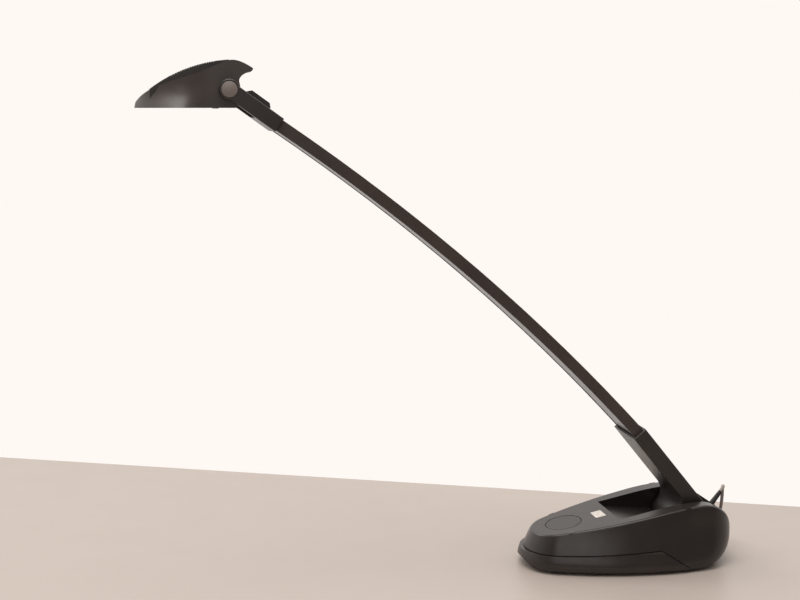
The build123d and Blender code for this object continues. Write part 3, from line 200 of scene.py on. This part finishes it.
def moulded(name, colour, roughness, grain=0.0005, strength=0.35):
    """Moulded plastic: eroded grain, slightly uneven gloss and a trace of dust and handling."""
    material, tree, shader = shader_of(name, colour, roughness)
    shader.inputs["IOR"].default_value = PLASTIC_IOR
    wander = noise(tree, 0.035, 3)
    tint(tree, wander, darker(colour, 0.86), darker(colour, 1.16), shader.inputs["Base Color"])
    handled = noise(tree, 0.012, 5)
    spread(tree, handled, roughness - 0.015, roughness + 0.02, shader.inputs["Roughness"])
    relief(tree, noise(tree, grain, 2), RELIEF_DEPTH, strength, shader)
    return material


def brushed(name, colour, roughness, stretch):
    """Rolled or drawn metal with fine lines along it."""
    material, tree, shader = shader_of(name, colour, roughness, metallic=1.0)
    lines = noise(tree, 0.0009, 4, stretch)
    tint(tree, lines, darker(colour, 0.85), colour, shader.inputs["Base Color"])
    spread(tree, lines, roughness - 0.05, roughness + 0.09, shader.inputs["Roughness"])
    relief(tree, lines, 0.00002, 0.25, shader)
    return material


def cast(name, colour, roughness, grain, metallic=1.0):
    """Rough cast or fired surface."""
    material, tree, shader = shader_of(name, colour, roughness, metallic)
    tint(
        tree, noise(tree, grain * 6, 4), darker(colour, 0.7), colour, shader.inputs["Base Color"]
    )
    relief(tree, noise(tree, grain, 4), grain * 0.25, 0.6, shader)
    return material


def banded(name, colour, gap, roughness, pitch, direction, metallic):
    """Stack of sheets or turns: dark lines at a set pitch along one axis."""
    material, tree, shader = shader_of(name, colour, roughness, metallic)
    place = tree.nodes.new("ShaderNodeTexCoord")
    waves = tree.nodes.new("ShaderNodeTexWave")
    waves.bands_direction = direction
    waves.inputs["Scale"].default_value = tau / (20 * pitch)
    tree.links.new(place.outputs["Object"], waves.inputs["Vector"])
    tint(tree, waves.outputs["Fac"], gap, colour, shader.inputs["Base Color"])
    relief(tree, waves.outputs["Fac"], pitch * 0.3, 0.5, shader)
    return material


def clear(name, colour, roughness, smudge):
    """Glass with a few faint smudges."""
    material, tree, shader = shader_of(name, colour, roughness)
    shader.inputs["IOR"].default_value = GLASS_IOR
    shader.inputs["Transmission Weight"].default_value = 1.0
    spread(tree, noise(tree, 0.01, 4), roughness, roughness + smudge, shader.inputs["Roughness"])
    return material


def flexible(name, colour, roughness):
    """Soft moulded vinyl or rubber with a waxy bloom."""
    material, tree, shader = shader_of(name, colour, roughness)
    shader.inputs["Sheen Weight"].default_value = 0.15
    tint(
        tree, noise(tree, 0.02, 4), darker(colour, 0.88), darker(colour, 1.08),
        shader.inputs["Base Color"],
    )
    worn = noise(tree, 0.006, 3)
    spread(tree, worn, roughness - 0.05, roughness + 0.06, shader.inputs["Roughness"])
    relief(tree, noise(tree, 0.0008, 2), 0.00003, 0.3, shader)
    return material


SHELL_TONE = (0.026, 0.021, 0.019)
HEAD_TONE = (0.052, 0.043, 0.040)
shell_plastic = moulded("shell_plastic", SHELL_TONE, 0.29, strength=0.12)
plinth_plastic = moulded("plinth_plastic", (0.029, 0.023, 0.021), 0.30, strength=0.12)
head_plastic = moulded("head_plastic", HEAD_TONE, 0.44, strength=0.15)
grille_plastic = moulded("grille_plastic", (0.024, 0.020, 0.018), 0.34)
arm_plastic = moulded("arm_plastic", (0.027, 0.022, 0.020), 0.36, strength=0.2)
knob_plastic = moulded("knob_plastic", (0.022, 0.018, 0.017), 0.33, strength=0.12)
cap_plastic = moulded("cap_plastic", (0.20, 0.17, 0.155), 0.40, strength=0.1)
cover_plastic = moulded("cover_plastic", (0.030, 0.024, 0.021), 0.30, strength=0.15)
switch_plastic = moulded("switch_plastic", (0.02, 0.02, 0.02), 0.45)
terminal_nylon = moulded("terminal_nylon", (0.62, 0.60, 0.54), 0.45)
bush_nylon = moulded("bush_nylon", (0.55, 0.53, 0.47), 0.42)
washer_fibre = cast("washer_fibre", (0.25, 0.15, 0.09), 0.7, 0.0004, metallic=0.0)
foot_rubber = flexible("foot_rubber", (0.018, 0.018, 0.018), 0.68)
relief_rubber = flexible("relief_rubber", (0.012, 0.011, 0.011), 0.52)
lead_vinyl = flexible("lead_vinyl", (0.016, 0.015, 0.015), 0.45)
cord_vinyl = flexible("cord_vinyl", (0.31, 0.265, 0.24), 0.42)
plug_vinyl = flexible("plug_vinyl", (0.29, 0.245, 0.22), 0.46)
tie_vinyl = flexible("tie_vinyl", (0.02, 0.02, 0.02), 0.5)
blade_paint = moulded("blade_paint", (0.052, 0.040, 0.036), 0.33, grain=0.0007, strength=0.25)
axle_steel = brushed("axle_steel", (0.52, 0.51, 0.50), 0.32, (1, 0.05, 1))
screw_steel = brushed("screw_steel", (0.48, 0.47, 0.45), 0.36, (1, 1, 0.2))
strap_steel = brushed("strap_steel", (0.55, 0.55, 0.56), 0.34, (0.05, 1, 1))
pin_brass = brushed("pin_brass", (0.78, 0.58, 0.28), 0.28, (0.05, 1, 1))
reflector_aluminium = brushed("reflector_aluminium", (0.86, 0.86, 0.85), 0.16, (1, 1, 1))
ballast_iron = cast("ballast_iron", (0.13, 0.125, 0.12), 0.6, 0.0012)
holder_ceramic = cast("holder_ceramic", (0.78, 0.74, 0.67), 0.55, 0.0004, metallic=0.0)
core_steel = banded("core_steel", (0.30, 0.30, 0.31), (0.10, 0.09, 0.09), 0.45, 0.0005, "Z", 0.9)
winding_copper = banded(
    "winding_copper", (0.62, 0.27, 0.13), (0.2, 0.07, 0.03), 0.35, 0.0006, "Z", 0.9
)
capsule_glass = clear("capsule_glass", (1.0, 1.0, 1.0), 0.02, 0.05)
pane_glass = clear("pane_glass", (0.97, 0.98, 0.97), 0.03, 0.08)

node_finishes = {
    "base_shell": shell_plastic,
    "base_plinth": plinth_plastic,
    "rubber_feet": foot_rubber,
    "base_screws": screw_steel,
    "ballast_plate": ballast_iron,
    "transformer_core": core_steel,
    "transformer_winding": winding_copper,
    "transformer_straps": strap_steel,
    "transformer_screws": screw_steel,
    "terminal_block": terminal_nylon,
    "rotary_switch": switch_plastic,
    "switch_knob": knob_plastic,
    "pivot_axle": axle_steel,
    "pivot_nuts": axle_steel,
    "friction_washers": washer_fibre,
    "strain_relief": relief_rubber,
    "power_cord": cord_vinyl,
    "power_cord_coil": cord_vinyl,
    "power_cord_tail": cord_vinyl,
    "mains_plug": plug_vinyl,
    "plug_pins": pin_brass,
    "arm_foot": arm_plastic,
    "foot_bushes": bush_nylon,
    "arm_blade": blade_paint,
    "arm_cover": cover_plastic,
    "arm_lead": lead_vinyl,
    "head_fork": arm_plastic,
    "head_pin": axle_steel,
    "pin_caps": cap_plastic,
    "head_shell": head_plastic,
    "head_grille": grille_plastic,
    "reflector": reflector_aluminium,
    "lamp_holder": holder_ceramic,
    "halogen_capsule": capsule_glass,
    "capsule_pins": screw_steel,
    "glass_pane": pane_glass,
    "glass_clips": strap_steel,
    "clip_screws": screw_steel,
    "head_bushes": bush_nylon,
}
for node, material in node_finishes.items():
    nodes[node].data.materials.clear()
    nodes[node].data.materials.append(material)

# ---------------------------------------------------------------- mains cord
CORD_R = 1.8 * MM
COIL_AT = (45 * MM, 97 * MM)
COIL_INNER = 15.8 * MM
COIL_STEP = 2.4 * MM           # outwards or inwards in each half turn
COIL_LAYER = 4.3 * MM
COIL_RINGS = 5
COIL_LAYERS = 4
TURN_POINTS = 16               # points in each turn
COIL_APPROACH = 76 * MM        # X where the cord straightens before the coil
COIL_LEAVE = 25 * MM           # X where it turns down to the plug
PLUG_ENTRY = Vector((2, 82, 6.8)) * MM
PLUG_REACH = Vector((8, 0, 0)) * MM    # straight on either side of the plug's entry

rings = []                     # ring and layer at the end of every half turn
for layer in range(COIL_LAYERS):
    order = list(range(COIL_RINGS + 1))
    if layer % 2 == 0:
        order.reverse()
    rings += [(ring, layer) for ring in order]
rings.pop()


def coil_point(half_turns):
    """Point of the coil after so many half turns, from the side that faces the base."""
    whole = min(int(half_turns), len(rings) - 2)
    (ring_0, layer_0), (ring_1, layer_1) = rings[whole], rings[whole + 1]
    share = half_turns - whole
    radius = COIL_INNER + COIL_STEP * (ring_0 + (ring_1 - ring_0) * share)
    height = CORD_R + COIL_LAYER * (layer_0 + (layer_1 - layer_0) * share)
    angle = -pi / 2 - pi * half_turns
    return Vector((COIL_AT[0] + radius * cos(angle), COIL_AT[1] + radius * sin(angle), height))


coil_start, coil_end = coil_point(0), coil_point(len(rings) - 1)
coil_in = coil_start + Vector((2 * CORD_R, 0, 0))
coil_out = coil_end - Vector((2 * CORD_R, 0, 0))
steps = (len(rings) - 1) * TURN_POINTS // 2
cord_route = [
    Vector(point) * MM
    for point in (
        (102.0, 0, 54.05),
        (112.8, 0, 67.9),
        (116.6, 10.6, 66.6),
        (118.8, 15, 49),
        (121, 24, 31),
        (118.5, 40, 13),
        (103, 58, 2.6),
    )
]
cord_route += [Vector((COIL_APPROACH, coil_in.y, CORD_R)), coil_in]
cord_route += [coil_point(2 * step / TURN_POINTS) for step in range(steps + 1)]
cord_route += [
    coil_out,
    Vector((COIL_LEAVE, coil_out.y, coil_out.z)),
    PLUG_ENTRY + PLUG_REACH,
    PLUG_ENTRY - PLUG_REACH,
]
cord_curve = bpy.data.curves.new("mains_cord", "CURVE")
cord_curve.dimensions = "3D"
cord_curve.bevel_depth = CORD_R
cord_curve.bevel_resolution = 5
cord_curve.use_fill_caps = True
route = cord_curve.splines.new("NURBS")
route.points.add(len(cord_route) - 1)
for point, place in zip(route.points, cord_route):
    point.co = (*place, 1)
route.order_u = 3
route.use_endpoint_u = True
route.resolution_u = 6
mains_cord = add_piece("mains_cord", cord_curve, "base", cord_vinyl)
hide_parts("power_cord", "power_cord_coil", "power_cord_tail")

# band that holds the coil together
BAND_ANGLE = radians(200)
BAND_WIDTH = 7 * MM
BAND_THICK = 0.5 * MM
BAND_ROUND = 2.2 * MM
BAND_LOW = 0.1 * MM
BAND_PLAY = 0.3 * MM           # round the coil
CORNER_STEPS = 5
band_mid = COIL_INNER + COIL_STEP * COIL_RINGS / 2
band_half = COIL_STEP * COIL_RINGS / 2 + CORD_R + BAND_PLAY
band_high = CORD_R * 2 + COIL_LAYER * (COIL_LAYERS - 1) + BAND_PLAY
outwards = Vector((cos(BAND_ANGLE), sin(BAND_ANGLE), 0))
band_across = Vector((-outwards.y, outwards.x, 0))


def band_loop(inset):
    """Rounded outline of the band, with so much taken off all round."""
    reach = BAND_ROUND - inset
    corners = (
        (-band_half + BAND_ROUND, BAND_LOW + BAND_ROUND, pi),
        (band_half - BAND_ROUND, BAND_LOW + BAND_ROUND, 1.5 * pi),
        (band_half - BAND_ROUND, band_high - BAND_ROUND, 0),
        (-band_half + BAND_ROUND, band_high - BAND_ROUND, pi / 2),
    )
    return [
        (out + reach * cos(turn + step * pi / 2 / CORNER_STEPS),
         up + reach * sin(turn + step * pi / 2 / CORNER_STEPS))
        for out, up, turn in corners
        for step in range(CORNER_STEPS + 1)
    ]


band_rings = [
    [
        Vector((*COIL_AT, up)) + outwards * (band_mid + out) + band_across * side * BAND_WIDTH / 2
        for out, up in band_loop(inset)
    ]
    for side, inset in ((-1, 0), (1, 0), (1, BAND_THICK), (-1, BAND_THICK))
]
per_ring = len(band_rings[0])
band_mesh = bpy.data.meshes.new("coil_band")
band_mesh.from_pydata(
    [point for ring in band_rings for point in ring],
    [],
    [
        (
            ring * per_ring + n,
            ring * per_ring + (n + 1) % per_ring,
            (ring + 1) % len(band_rings) * per_ring + (n + 1) % per_ring,
            (ring + 1) % len(band_rings) * per_ring + n,
        )
        for ring in range(len(band_rings))
        for n in range(per_ring)
    ],
)
coil_band = add_piece("coil_band", band_mesh, "base", tie_vinyl)

# grips on the plug's sides
GRIP_START = 2 * MM            # from the plug's end
GRIP_SINK = 0.2 * MM
grip_tree, grip_in, grip_out = geometry_tree(
    "plug_grips", (("Count", 5), ("Pitch", 2.4 * MM), ("Height", 8 * MM), ("Width", 1.1 * MM))
)
row = grip_tree.nodes.new("GeometryNodeMeshLine")
offset = grip_tree.nodes.new("ShaderNodeCombineXYZ")
rib = grip_tree.nodes.new("GeometryNodeMeshCylinder")
rib.inputs["Vertices"].default_value = 12
half_width = grip_tree.nodes.new("ShaderNodeMath")
half_width.operation = "MULTIPLY"
half_width.inputs[1].default_value = 0.5
put = grip_tree.nodes.new("GeometryNodeInstanceOnPoints")
join(
    grip_tree,
    (grip_in.outputs["Pitch"], offset.inputs["X"]),
    (grip_in.outputs["Count"], row.inputs["Count"]),
    (offset.outputs[0], row.inputs["Offset"]),
    (grip_in.outputs["Height"], rib.inputs["Depth"]),
    (grip_in.outputs["Width"], half_width.inputs[0]),
    (half_width.outputs[0], rib.inputs["Radius"]),
    (row.outputs[0], put.inputs["Points"]),
    (rib.outputs["Mesh"], put.inputs["Instance"]),
)
end_tree(grip_tree, put.outputs[0], grip_out, plug_vinyl)
plug_low, plug_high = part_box("mains_plug")
for side, name in ((-1, "plug_grips_near"), (1, "plug_grips_far")):
    edge = plug_low[1] if side < 0 else plug_high[1]
    place = Matrix.Translation(
        (plug_low[0] + GRIP_START, edge - side * GRIP_SINK, PLUG_ENTRY.z)
    )
    node_piece(name, grip_tree, "base", plug_vinyl, place)

# ---------------------------------------------------------------- stage
TABLE_EDGE = Vector((-0.0371, 0.2563, 0))      # a point of the table's far edge
TABLE_TURN = radians(-24.5)
TABLE_SIZE = (3.2, 2.6)
TABLE_THICK = 0.03

table_mesh = bpy.data.meshes.new("table_top")
along = Vector((cos(TABLE_TURN), sin(TABLE_TURN), 0))
towards = Vector((sin(TABLE_TURN), -cos(TABLE_TURN), 0))
rim = [
    TABLE_EDGE + along * across * TABLE_SIZE[0] / 2 + towards * depth * TABLE_SIZE[1]
    for across, depth in ((-1, 0), (-1, 1), (1, 1), (1, 0))
]
drop = Vector((0, 0, TABLE_THICK))
table_mesh.from_pydata(
    [*rim, *[corner - drop for corner in rim]],
    [],
    [(0, 1, 2, 3), (7, 6, 5, 4), (0, 4, 5, 1), (1, 5, 6, 2), (2, 6, 7, 3), (3, 7, 4, 0)],
)
table_finish, table_tree, table_shader = shader_of("table_finish", (0.46, 0.405, 0.365), 0.38)
spread(table_tree, noise(table_tree, 0.05, 4), 0.35, 0.42, table_shader.inputs["Roughness"])
table_mesh.materials.append(table_finish)
table = bpy.data.objects.new("table_top", table_mesh)
scene.collection.objects.link(table)

# ---------------------------------------------------------------- light
WALL = (1.0, 0.945, 0.905)
DARK_SIDE, LIT_SIDE = 0.08, 1.0        # strength of the walls before and behind the lamp
FALL_FROM, FALL_TO = -0.75, 0.35       # along Y, between the two
LAMP_TARGET = (-0.15, 0, 0.2)

world = bpy.data.worlds.new("room")
scene.world = world
world.use_nodes = True
room = world.node_tree
room.nodes.clear()
facing = room.nodes.new("ShaderNodeTexCoord")
split = room.nodes.new("ShaderNodeSeparateXYZ")
fall = room.nodes.new("ShaderNodeMapRange")
fall.inputs["From Min"].default_value = FALL_FROM
fall.inputs["From Max"].default_value = FALL_TO
fall.inputs["To Min"].default_value = DARK_SIDE
fall.inputs["To Max"].default_value = LIT_SIDE
walls = room.nodes.new("ShaderNodeBackground")
walls.inputs["Color"].default_value = (*WALL, 1)
backdrop = room.nodes.new("ShaderNodeBackground")
backdrop.inputs["Color"].default_value = (*WALL, 1)
backdrop.inputs["Strength"].default_value = 1.0
rays = room.nodes.new("ShaderNodeLightPath")
seen = room.nodes.new("ShaderNodeMath")
seen.operation = "MAXIMUM"
choose = room.nodes.new("ShaderNodeMixShader")
result = room.nodes.new("ShaderNodeOutputWorld")
join(
    room,
    (facing.outputs["Generated"], split.inputs[0]),
    (split.outputs["Y"], fall.inputs["Value"]),
    (fall.outputs["Result"], walls.inputs["Strength"]),
    (rays.outputs["Is Camera Ray"], seen.inputs[0]),
    (rays.outputs["Is Transmission Ray"], seen.inputs[1]),
    (seen.outputs[0], choose.inputs[0]),
    (walls.outputs[0], choose.inputs[1]),
    (backdrop.outputs[0], choose.inputs[2]),
    (choose.outputs[0], result.inputs[0]),
)


def soft_lamp(name, place, width, height, power, colour):
    """Large soft lamp that faces the middle of the part and isn't seen itself."""
    data = bpy.data.lights.new(name, "AREA")
    data.shape = "RECTANGLE"
    data.size = width
    data.size_y = height
    data.energy = power
    data.color = colour
    lamp = bpy.data.objects.new(name, data)
    lamp.location = place
    lamp.rotation_euler = (Vector(LAMP_TARGET) - Vector(place)).to_track_quat("-Z", "Y").to_euler()
    lamp.visible_camera = False
    scene.collection.objects.link(lamp)


soft_lamp("ceiling", (-0.30, -0.25, 1.35), 0.9, 0.9, 12, (1.0, 0.95, 0.91))
soft_lamp("window", (-1.3, 1.1, 1.5), 0.9, 0.9, 11, (1.0, 0.96, 0.92))
soft_lamp("room_fill", (-0.7, -2.0, 1.1), 1.2, 1.0, 6, (1.0, 0.94, 0.90))
scene.view_settings.view_transform = "Standard"

# ---------------------------------------------------------------- blank label plate on the deck
LABEL_MIDDLE = (37.4 * MM, -2.4 * MM)          # from the deck's origin, along and across it
LABEL_SIZE = (11.0 * MM, 17.5 * MM)
LABEL_ROUND = 0.8 * MM
LABEL_LIFT = 0.1 * MM
LABEL_THICK = 0.2 * MM
LABEL_GRID = 16                # squares along each side
RAY_FROM = 10 * MM             # above the deck
DECK_ORIGIN = Vector((-64, 0, 41.3)) * MM
DECK_UP = Vector((-0.190809, 0, 0.981627))
deck_along = Vector((DECK_UP.z, 0, -DECK_UP.x))
label_paper, label_tree, label_shader = shader_of("label_paper", (0.78, 0.72, 0.66), 0.3)
tint(
    label_tree, noise(label_tree, 0.004, 3), (0.70, 0.64, 0.58), (0.82, 0.77, 0.71),
    label_shader.inputs["Base Color"],
)
relief(label_tree, noise(label_tree, 0.0006, 2), 0.00002, 0.3, label_shader)

shell = nodes["base_shell"]
label_points = []
for row_index in range(LABEL_GRID + 1):
    for column in range(LABEL_GRID + 1):
        u = (row_index / LABEL_GRID - 0.5) * LABEL_SIZE[0]
        v = (column / LABEL_GRID - 0.5) * LABEL_SIZE[1]
        over_u = abs(u) - (LABEL_SIZE[0] / 2 - LABEL_ROUND)
        over_v = abs(v) - (LABEL_SIZE[1] / 2 - LABEL_ROUND)
        if over_u > 0 and over_v > 0:
            pull = LABEL_ROUND / max((over_u**2 + over_v**2) ** 0.5, LABEL_ROUND)
            u -= (1 if u > 0 else -1) * over_u * (1 - pull)
            v -= (1 if v > 0 else -1) * over_v * (1 - pull)
        above = (
            DECK_ORIGIN
            + deck_along * (LABEL_MIDDLE[0] + u)
            + Vector((0, LABEL_MIDDLE[1] + v, 0))
            + DECK_UP * RAY_FROM
        )
        hit, where, _, _ = shell.ray_cast(above, -DECK_UP)
        label_points.append(where + DECK_UP * LABEL_LIFT if hit else above)
across_count = LABEL_GRID + 1
label_faces = [
    (n, n + 1, n + across_count + 1, n + across_count)
    for n in range(len(label_points) - across_count)
    if n % across_count < LABEL_GRID
]
label_mesh = bpy.data.meshes.new("label_plate")
label_mesh.from_pydata(label_points, [], label_faces)
label_plate = add_piece("label_plate", label_mesh, "base", label_paper)
plate = label_plate.modifiers.new("plate", "SOLIDIFY")
plate.thickness = LABEL_THICK
plate.offset = 0

# ---------------------------------------------------------------- filament in the capsule
FILAMENT_START = 9 * MM        # from the capsule's end
FILAMENT_SIDE = -2.5 * MM
tungsten = brushed("tungsten", (0.32, 0.31, 0.30), 0.4, (1, 1, 1))
capsule_low, capsule_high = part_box("halogen_capsule")
filament_tree, filament_in, filament_out = geometry_tree(
    "filament", (("Turns", 9.0), ("Radius", 0.7 * MM), ("Length", 5 * MM), ("Wire", 0.12 * MM))
)
helix = filament_tree.nodes.new("GeometryNodeCurveSpiral")
helix.inputs["Resolution"].default_value = 14
wire = filament_tree.nodes.new("GeometryNodeCurvePrimitiveCircle")
wire.inputs["Resolution"].default_value = 6
drawn = filament_tree.nodes.new("GeometryNodeCurveToMesh")
drawn.inputs["Fill Caps"].default_value = True
join(
    filament_tree,
    (filament_in.outputs["Turns"], helix.inputs["Rotations"]),
    (filament_in.outputs["Radius"], helix.inputs["Start Radius"]),
    (filament_in.outputs["Radius"], helix.inputs["End Radius"]),
    (filament_in.outputs["Length"], helix.inputs["Height"]),
    (filament_in.outputs["Wire"], wire.inputs["Radius"]),
    (helix.outputs[0], drawn.inputs["Curve"]),
    (wire.outputs[0], drawn.inputs["Profile Curve"]),
)
end_tree(filament_tree, drawn.outputs[0], filament_out, tungsten)
capsule_axis = (capsule_low[2] + capsule_high[2]) / 2
filament_place = frame_at(
    (capsule_low[0] + FILAMENT_START, FILAMENT_SIDE, capsule_axis), (1, 0, 0), (0, 1, 0)
)
node_piece("filament", filament_tree, "head", tungsten, filament_place)
